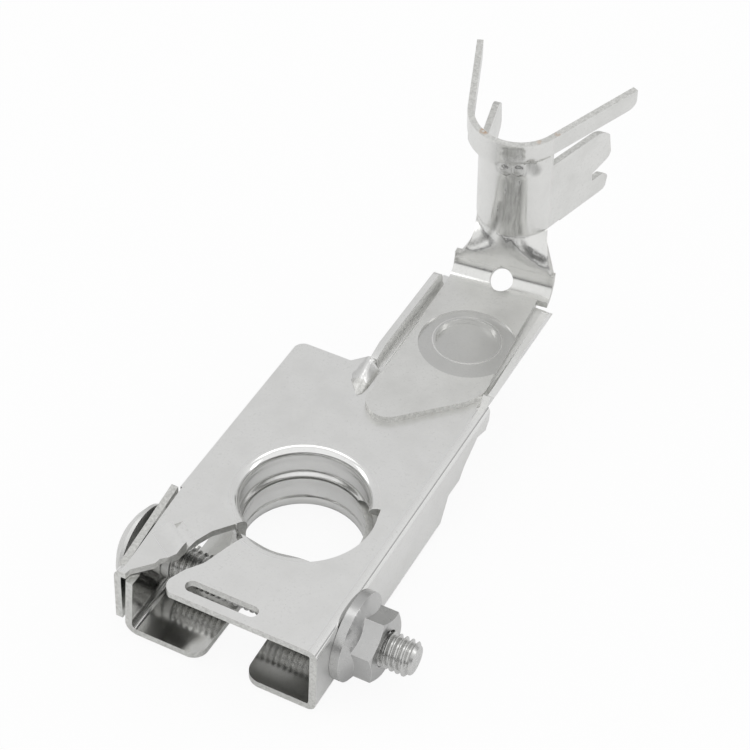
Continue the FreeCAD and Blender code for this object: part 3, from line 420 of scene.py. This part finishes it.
# The cable lug is pressed from the same plated sheet. Its blade lies on the tail, where a
# punch has drawn both sheets into one button. Its open barrel stands up for the cable, and
# the die that rolled it has left two pips, a square dent and long flutes in its front.
def mark_depth(place, marks):
    """How deep the die has pressed the sheet at a place. A pip has a depth below zero."""
    deep, proud = 0.0, 0.0
    for points, width, edge, depth in marks:
        nearest = 1.0
        for first, second in zip(points, points[1:]):
            first, second = Vector(first) / 1000, Vector(second) / 1000
            run = second - first
            share = max(0.0, min(1.0, (place - first).dot(run) / run.length_squared))
            nearest = min(nearest, (place - first - run * share).length)
        fall = max(0.0, min(1.0, (width / 1000 - nearest) * 1000 / edge))
        fall = fall * fall * (3 - 2 * fall) * depth / 1000
        deep, proud = max(deep, fall), min(proud, fall)
    return deep + proud


def press_front(piece, slot, marks, painted_shade_strokes):
    """Cuts the barrel's front into a fine grid and presses the marks of the die into it.

    The painted_shade_strokes only darken the colour, kept in the attribute painted_shade_amount."""
    bend_line = 0.0575
    grid_across, grid_up = 0.00026, 0.00038
    only(piece)
    for face in piece.data.polygons:
        place = face.center
        outside = face.material_index in (flats, bends)
        if face.normal.y < -0.12 and place.y > bend_line and outside:
            if 0.0172 < place.z < 0.0465 and -0.0035 < place.x < 0.0135:
                face.material_index = slot
    piece.active_material_index = slot
    bpy.ops.object.mode_set(mode="EDIT")
    cuts = [((step * grid_across, 0, 0), (1, 0, 0)) for step in range(-12, 52)]
    cuts += [((0, 0, step * grid_up), (0, 0, 1)) for step in range(46, 122)]
    for place, across in cuts:
        bpy.ops.mesh.select_all(action="DESELECT")
        bpy.ops.object.material_slot_select()
        bpy.ops.mesh.bisect(plane_co=place, plane_no=across, threshold=0.000001)
    bpy.ops.mesh.select_all(action="DESELECT")
    bpy.ops.object.mode_set(mode="OBJECT")
    front = set()
    for face in piece.data.polygons:
        if face.material_index == slot:
            front.update(face.vertices)
    painted_shade_amount = piece.data.attributes.new("painted_shade_amount", "FLOAT", "POINT")
    moves = []
    for index in front:
        vertex = piece.data.vertices[index]
        moves.append((index, vertex.normal * mark_depth(vertex.co, marks)))
        # The same falloff from the painted shade strokes sets how dark the painted shade is.
        painted_shade_amount.data[index].value = 1000 * mark_depth(vertex.co, painted_shade_strokes)
    for index, move in moves:
        piece.data.vertices[index].co -= move


def paint_barrel_shade(material):
    """Paints shade into the colour where painted_shade_amount is set, in upright streaks."""
    tree = material.node_tree
    link = tree.links.new
    where = node(tree, "ShaderNodeTexCoord")
    upright = node(tree, "ShaderNodeMapping", Scale=(2600, 2600, 60))
    streaks = node(tree, "ShaderNodeTexNoise", Scale=1.0, Detail=3.0, Roughness=0.7)
    link(where.outputs["Object"], upright.inputs["Vector"])
    link(upright.outputs["Vector"], streaks.inputs["Vector"])
    painted_shade_amount = node(tree, "ShaderNodeAttribute", attribute_name="painted_shade_amount")
    uneven = node(tree, "ShaderNodeMapRange",
                  **{"From Min": 0.3, "From Max": 0.7, "To Min": 0.45, "To Max": 1.0})
    link(streaks.outputs["Fac"], uneven.inputs["Value"])
    amount = node(tree, "ShaderNodeMath", operation="MULTIPLY")
    link(painted_shade_amount.outputs["Fac"], amount.inputs[0])
    link(uneven.outputs["Result"], amount.inputs[1])
    dark = node(tree, "ShaderNodeMix", data_type="RGBA")
    link(amount.outputs["Value"], dark.inputs["Factor"])
    link(tree.nodes["skin"].outputs["Color"], dark.inputs["A"])
    dark.inputs["B"].default_value = (0.30, 0.30, 0.29, 1)
    link(dark.outputs["Result"], tree.nodes["Principled BSDF"].inputs["Base Color"])


# Each mark is a stroke in millimetres, its half width, the width of its edge and its depth.
barrel_marks = [
    ([(4.85, 60.0, 39.4), (4.95, 60.0, 39.4)], 1.45, 0.9, -0.55),
    ([(7.05, 60.35, 39.7), (7.15, 60.35, 39.7)], 1.45, 0.9, -0.55),
    ([(4.9, 59.6, 43.8), (7.2, 60.0, 43.8)], 0.95, 0.35, 0.22),
    ([(4.9, 59.7, 42.5), (7.2, 60.1, 42.5)], 0.95, 0.35, 0.22),
    ([(8.9, 61.2, 41.0), (9.7, 62.1, 39.2)], 1.2, 1.0, 0.25),
    ([(4.84, 60.5, 36.6), (4.5, 61.0, 32.0), (3.9, 61.5, 28.4), (3.07, 62.1, 24.9),
      (1.85, 62.0, 21.9), (0.0, 61.3, 20.6)], 1.7, 1.6, 0.20),
    ([(7.5, 61.0, 37.2), (7.4, 61.5, 32.7), (7.3, 62.1, 28.6), (7.5, 62.8, 24.9),
      (8.7, 62.5, 22.6), (10.4, 62.5, 21.2), (12.4, 62.8, 20.5)], 1.5, 1.4, 0.18),
    ([(5.4, 61.0, 32.4), (5.2, 61.7, 27.5), (5.4, 62.2, 23.9), (6.7, 61.8, 21.9),
      (8.5, 61.9, 20.5), (10.9, 62.2, 19.7)], 0.8, 0.75, 0.06)]
# Painted shade in the square dent, round the pips, along the flutes and down the middle; the
# last number is how dark, not a depth.
barrel_painted_shade = [
    ([(4.9, 59.6, 43.8), (7.2, 60.0, 43.8)], 0.95, 0.35, 0.75),
    ([(4.9, 59.7, 42.5), (7.2, 60.1, 42.5)], 0.95, 0.35, 0.75),
    ([(4.7, 60.0, 39.4), (7.2, 60.4, 39.6)], 2.0, 0.6, 0.5),
    ([(8.9, 61.2, 41.0), (9.7, 62.1, 39.2)], 1.5, 1.2, 0.8),
    ([(4.2, 61.1, 31.0), (3.6, 61.7, 27.4), (2.9, 62.1, 24.6), (1.6, 62.0, 21.8),
      (-0.2, 61.3, 20.4), (-1.6, 61.4, 19.0)], 0.9, 0.8, 0.9),
    ([(6.2, 60.3, 41.5), (6.1, 60.9, 35.0), (5.9, 61.6, 27.5), (6.3, 61.9, 23.0)],
     2.3, 1.4, 0.75),
    ([(7.4, 61.0, 37.0), (7.4, 61.5, 32.7), (7.3, 62.1, 28.6), (7.6, 62.8, 24.9),
      (8.8, 62.5, 22.6), (10.4, 62.5, 21.2), (12.4, 62.8, 20.5)], 0.9, 0.8, 1.0)]
lug_finishes = [
    plated_metal("lug tin on flats", (0.79, 0.79, 0.775, 1), (0.50, 0.50, 0.48, 1), 0.24, 0.50),
    plated_metal("lug tin on bends", (0.83, 0.83, 0.815, 1), (0.54, 0.54, 0.52, 1), 0.12, 0.30),
    plated_metal("lug tin inside", (0.76, 0.76, 0.745, 1), (0.56, 0.56, 0.54, 1), 0.16, 0.22),
    sheet_finishes[sheared], sheet_finishes[worn],
    plated_metal("lug tin on front", (0.80, 0.80, 0.785, 1), (0.60, 0.60, 0.58, 1), 0.14, 0.34),
    plated_metal("lug tin under punch", (0.62, 0.62, 0.61, 1), (0.48, 0.48, 0.47, 1), 0.22, 0.4)]
front, punched = 5, 6
press_centre, press_reach = Vector((0.007, 0.0448, 0.0137)), 0.0092
punch_reach, punch_face = 0.0056, 0.00012
paint_barrel_shade(lug_finishes[front])
lug = mend_copy("cable_lug", "lug_sheet")
for finish in lug_finishes:
    lug.data.materials.append(finish)
sort_faces(lug, sheet_thickness, flats, bends, inside, sheared,
           drawn=(press_centre, press_reach))
# Upward faces of the button's flat floor get a darker tin.
for face in lug.data.polygons:
    under_punch = (face.center - press_centre).length < punch_reach
    if under_punch and face.normal.z > 0.95 and face.area < punch_face:
        face.material_index = punched
break_corners(lug, sheet_corner, worn)
press_front(lug, front, barrel_marks, barrel_painted_shade)
keep_flats(lug)
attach(lug, "clamp")
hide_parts("cable_lug")


# The carriage bolt is cold headed steel with a rolled M6 thread and bright zinc plating. Its
# square neck sits in the square holes of the left flanges, so it cannot turn. The blank's
# head and neck come from the frame, and the thread is wound from one turn of its profile.
bolt_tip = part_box("clamp_bolt")[1][0]
bolt_y, bolt_z = -0.0162, 0.00645
thread_start, thread_pitch, thread_turns = -0.0140, 0.001, 44
thread_root, thread_crest = 0.00242, 0.00295
tip_chamfer = 0.0007
blank_end = thread_start + 0.0004
zinc = plated_metal("zinc on steel", (0.64, 0.64, 0.63, 1), (0.44, 0.44, 0.43, 1), 0.16, 0.30)

blank = mend_copy("clamp_bolt", "bolt_head")
# The head's zinc is painted lighter than the thread's: painted light on the dome.
blank.data.materials.append(plated_metal(
    "zinc on head", (0.74, 0.74, 0.73, 1), (0.56, 0.56, 0.55, 1), 0.34, 0.45))
bpy.ops.object.mode_set(mode="EDIT")
bpy.ops.mesh.select_all(action="SELECT")
bpy.ops.mesh.bisect(plane_co=(blank_end, 0, 0), plane_no=(1, 0, 0), use_fill=True,
                    clear_outer=True, threshold=0.0000001)
bpy.ops.object.mode_set(mode="OBJECT")
break_corners(blank, 0.00015, 0)
keep_flats(blank)

bpy.ops.object.select_all(action="DESELECT")
bpy.ops.mesh.primitive_plane_add(size=0.0002, location=(0, 0, 0))
bolt = bpy.context.active_object
bolt.name = "bolt_threaded"
bolt.data.name = "bolt_threaded"
bpy.ops.object.mode_set(mode="EDIT")
bpy.ops.mesh.merge(type="CENTER")
bpy.ops.transform.translate(value=(thread_start - thread_pitch, 0, thread_root))
flank = thread_crest - thread_root
profile = ((0.12, 0), (0.32, flank), (0.12, 0), (0.32, -flank), (0.12, 0))
for run, rise in profile:
    bpy.ops.mesh.extrude_vertices_move(
        TRANSFORM_OT_translate={"value": (run * thread_pitch, 0, rise)})
bpy.ops.object.mode_set(mode="OBJECT")
wound = bolt.modifiers.new("wound thread", "SCREW")
wound.axis = "X"
wound.screw_offset = thread_pitch
wound.iterations = thread_turns
wound.steps = 32
wound.render_steps = 32
wound.use_merge_vertices = True
wound.merge_threshold = 0.000001
bpy.ops.object.modifier_apply(modifier=wound.name)
bpy.ops.object.mode_set(mode="EDIT")
bpy.ops.mesh.select_all(action="SELECT")
bpy.ops.mesh.remove_doubles(threshold=0.000002)
bpy.ops.mesh.bisect(plane_co=(thread_start, 0, 0), plane_no=(-1, 0, 0), use_fill=True,
                    clear_outer=True, threshold=0.0000001)
bpy.ops.mesh.select_all(action="SELECT")
bpy.ops.mesh.bisect(plane_co=(bolt_tip - 0.00001, 0, 0), plane_no=(1, 0, 0), use_fill=True,
                    clear_outer=True, threshold=0.0000001)
bpy.ops.mesh.select_all(action="SELECT")
bpy.ops.transform.translate(value=(0, bolt_y, bolt_z))
bpy.ops.mesh.normals_make_consistent(inside=False)
bpy.ops.mesh.select_all(action="DESELECT")
bpy.ops.object.mode_set(mode="OBJECT")
for vertex in bolt.data.vertices:
    across = Vector((0, vertex.co.y - bolt_y, vertex.co.z - bolt_z))
    allowed = thread_crest - tip_chamfer + max(0.0, bolt_tip - vertex.co.x)
    if across.length > allowed:
        across *= allowed / across.length
        vertex.co.y = bolt_y + across.y
        vertex.co.z = bolt_z + across.z
bolt.data.materials.append(zinc)
bpy.ops.object.shade_smooth_by_angle(angle=math.radians(32))
blank.select_set(True)
bpy.ops.object.join()
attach(bolt, "bolt")
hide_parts("clamp_bolt")


# The flange nut is cold formed and tapped steel, 10 mm across its flats, with the same zinc
# plating. Its flange bears on the right wall of the box.
nut = mend_copy("flange_nut", "nut_flanged")
nut_corner = 0.00022
# The nut's zinc is painted darker than the bolt's and its rounded edges much lighter: painted
# shade on its faces, painted highlight on its edges.
nut.data.materials.append(plated_metal(
    "zinc on nut", (0.56, 0.56, 0.555, 1), (0.36, 0.36, 0.355, 1), 0.18, 0.20))
nut.data.materials.append(plated_metal(
    "nut edge", (0.82, 0.82, 0.81, 1), (0.62, 0.62, 0.61, 1), 0.10, 0.12))
break_corners(nut, nut_corner, 1)
keep_flats(nut)
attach(nut, "nut")
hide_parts("flange_nut")


# The studio: a pale floor and a bright room with three weak soft boxes. The room has a low
# dark band, darkest on the camera's side, which the polished bends show as dark lines.
look_at = Vector((-0.00542, 0.03535, 0.008))
azimuth, elevation, roll = math.radians(25.0), math.radians(42.95), math.radians(3.01)
distance = 0.380
focal_px = 2239.55
photo_px = 750
back = Vector((math.sin(azimuth) * math.cos(elevation),
               -math.cos(azimuth) * math.cos(elevation), math.sin(elevation)))
level = Vector((math.cos(azimuth), math.sin(azimuth), 0))
upward = back.cross(level)
right = level * math.cos(roll) + upward * math.sin(roll)
up = upward * math.cos(roll) - level * math.sin(roll)
lens = bpy.data.cameras.new("camera")
lens.sensor_width = 36.0
lens.lens = focal_px / photo_px * lens.sensor_width
lens.clip_start = 0.01
lens.clip_end = 20.0
camera = bpy.data.objects.new("camera", lens)
bpy.context.scene.collection.objects.link(camera)
turn = Matrix((right, up, back)).transposed()
camera.matrix_world = Matrix.Translation(look_at + back * distance) @ turn.to_4x4()
bpy.context.scene.camera = camera
bpy.context.scene.view_settings.view_transform = "Standard"

bpy.ops.object.select_all(action="DESELECT")
bpy.ops.mesh.primitive_plane_add(size=6.0, location=(0, 0, cad_low[2] - 0.0002))
floor = bpy.context.active_object
floor.name = "studio_floor"
pale = bpy.data.materials.new("pale floor")
pale.use_nodes = True
tree = pale.node_tree
shader = tree.nodes["Principled BSDF"]
shader.inputs["Base Color"].default_value = (0.9, 0.9, 0.9, 1)
shader.inputs["Roughness"].default_value = 0.9
shader.inputs["Specular IOR Level"].default_value = 0.0
glow = node(tree, "ShaderNodeEmission", Color=(1, 1, 1, 1), Strength=1.0)
path = node(tree, "ShaderNodeLightPath")
mirrored = node(tree, "ShaderNodeMath", operation="MULTIPLY")
tree.links.new(path.outputs["Is Glossy Ray"], mirrored.inputs[0])
mirrored.inputs[1].default_value = 0.12
share = node(tree, "ShaderNodeMath", operation="MULTIPLY_ADD")
tree.links.new(path.outputs["Is Camera Ray"], share.inputs[0])
share.inputs[1].default_value = 0.92
tree.links.new(mirrored.outputs["Value"], share.inputs[2])
blend = node(tree, "ShaderNodeMixShader")
tree.links.new(share.outputs["Value"], blend.inputs["Fac"])
tree.links.new(shader.outputs["BSDF"], blend.inputs[1])
tree.links.new(glow.outputs["Emission"], blend.inputs[2])
tree.links.new(blend.outputs["Shader"], tree.nodes["Material Output"].inputs["Surface"])
floor.data.materials.append(pale)

world = bpy.data.worlds.new("studio")
bpy.context.scene.world = world
world.use_nodes = True
tree = world.node_tree
room = tree.nodes["Background"]
white = node(tree, "ShaderNodeBackground", Color=(1, 1, 1, 1), Strength=1.0)
path = node(tree, "ShaderNodeLightPath")
blend = node(tree, "ShaderNodeMixShader")
where = node(tree, "ShaderNodeTexCoord")
facing = node(tree, "ShaderNodeVectorMath", operation="DOT_PRODUCT")
facing.inputs[1].default_value = (math.sin(azimuth), -math.cos(azimuth), 0)
tree.links.new(where.outputs["Generated"], facing.inputs[0])
height = node(tree, "ShaderNodeSeparateXYZ")
tree.links.new(where.outputs["Generated"], height.inputs["Vector"])
above = node(tree, "ShaderNodeMapRange",
             **{"From Min": -0.6, "From Max": 0.3, "To Min": 0.72, "To Max": 0.94})
below = node(tree, "ShaderNodeMapRange", interpolation_type="SMOOTHSTEP",
             **{"From Min": -0.4, "From Max": 0.5, "To Min": 0.40, "To Max": 0.05})
for ramp in (above, below):
    tree.links.new(facing.outputs["Value"], ramp.inputs["Value"])
rise = node(tree, "ShaderNodeMapRange", interpolation_type="SMOOTHSTEP",
            **{"From Min": 0.10, "From Max": 0.30})
tree.links.new(height.outputs["Z"], rise.inputs["Value"])
level_mix = node(tree, "ShaderNodeMix", data_type="FLOAT")
tree.links.new(rise.outputs["Result"], level_mix.inputs["Factor"])
tree.links.new(below.outputs["Result"], level_mix.inputs["A"])
tree.links.new(above.outputs["Result"], level_mix.inputs["B"])
room.inputs["Color"].default_value = (1, 1, 1, 1)
tree.links.new(level_mix.outputs["Result"], room.inputs["Strength"])
tree.links.new(path.outputs["Is Camera Ray"], blend.inputs["Fac"])
tree.links.new(room.outputs["Background"], blend.inputs[1])
tree.links.new(white.outputs["Background"], blend.inputs[2])
tree.links.new(blend.outputs["Shader"], tree.nodes["World Output"].inputs["Surface"])


def soft_box(name, around, above_floor, away, width, height, power):
    """A soft box that faces the object, by its angle around it from -Y and its elevation."""
    a, e = math.radians(around), math.radians(above_floor)
    outward = Vector((math.sin(a) * math.cos(e), -math.cos(a) * math.cos(e), math.sin(e)))
    data = bpy.data.lights.new(name, "AREA")
    data.shape = "RECTANGLE"
    data.size = width
    data.size_y = height
    data.energy = power
    lamp = bpy.data.objects.new(name, data)
    bpy.context.scene.collection.objects.link(lamp)
    lamp.location = look_at + outward * away
    lamp.rotation_mode = "QUATERNION"
    lamp.rotation_quaternion = (-outward).to_track_quat("-Z", "Y")


soft_box("back_box", 205, 78, 0.9, 0.8, 0.22, 0.62)
soft_box("left_box", -75, 30, 0.8, 0.25, 0.5, 0.42)
soft_box("right_box", 110, 25, 0.8, 0.20, 0.5, 0.34)
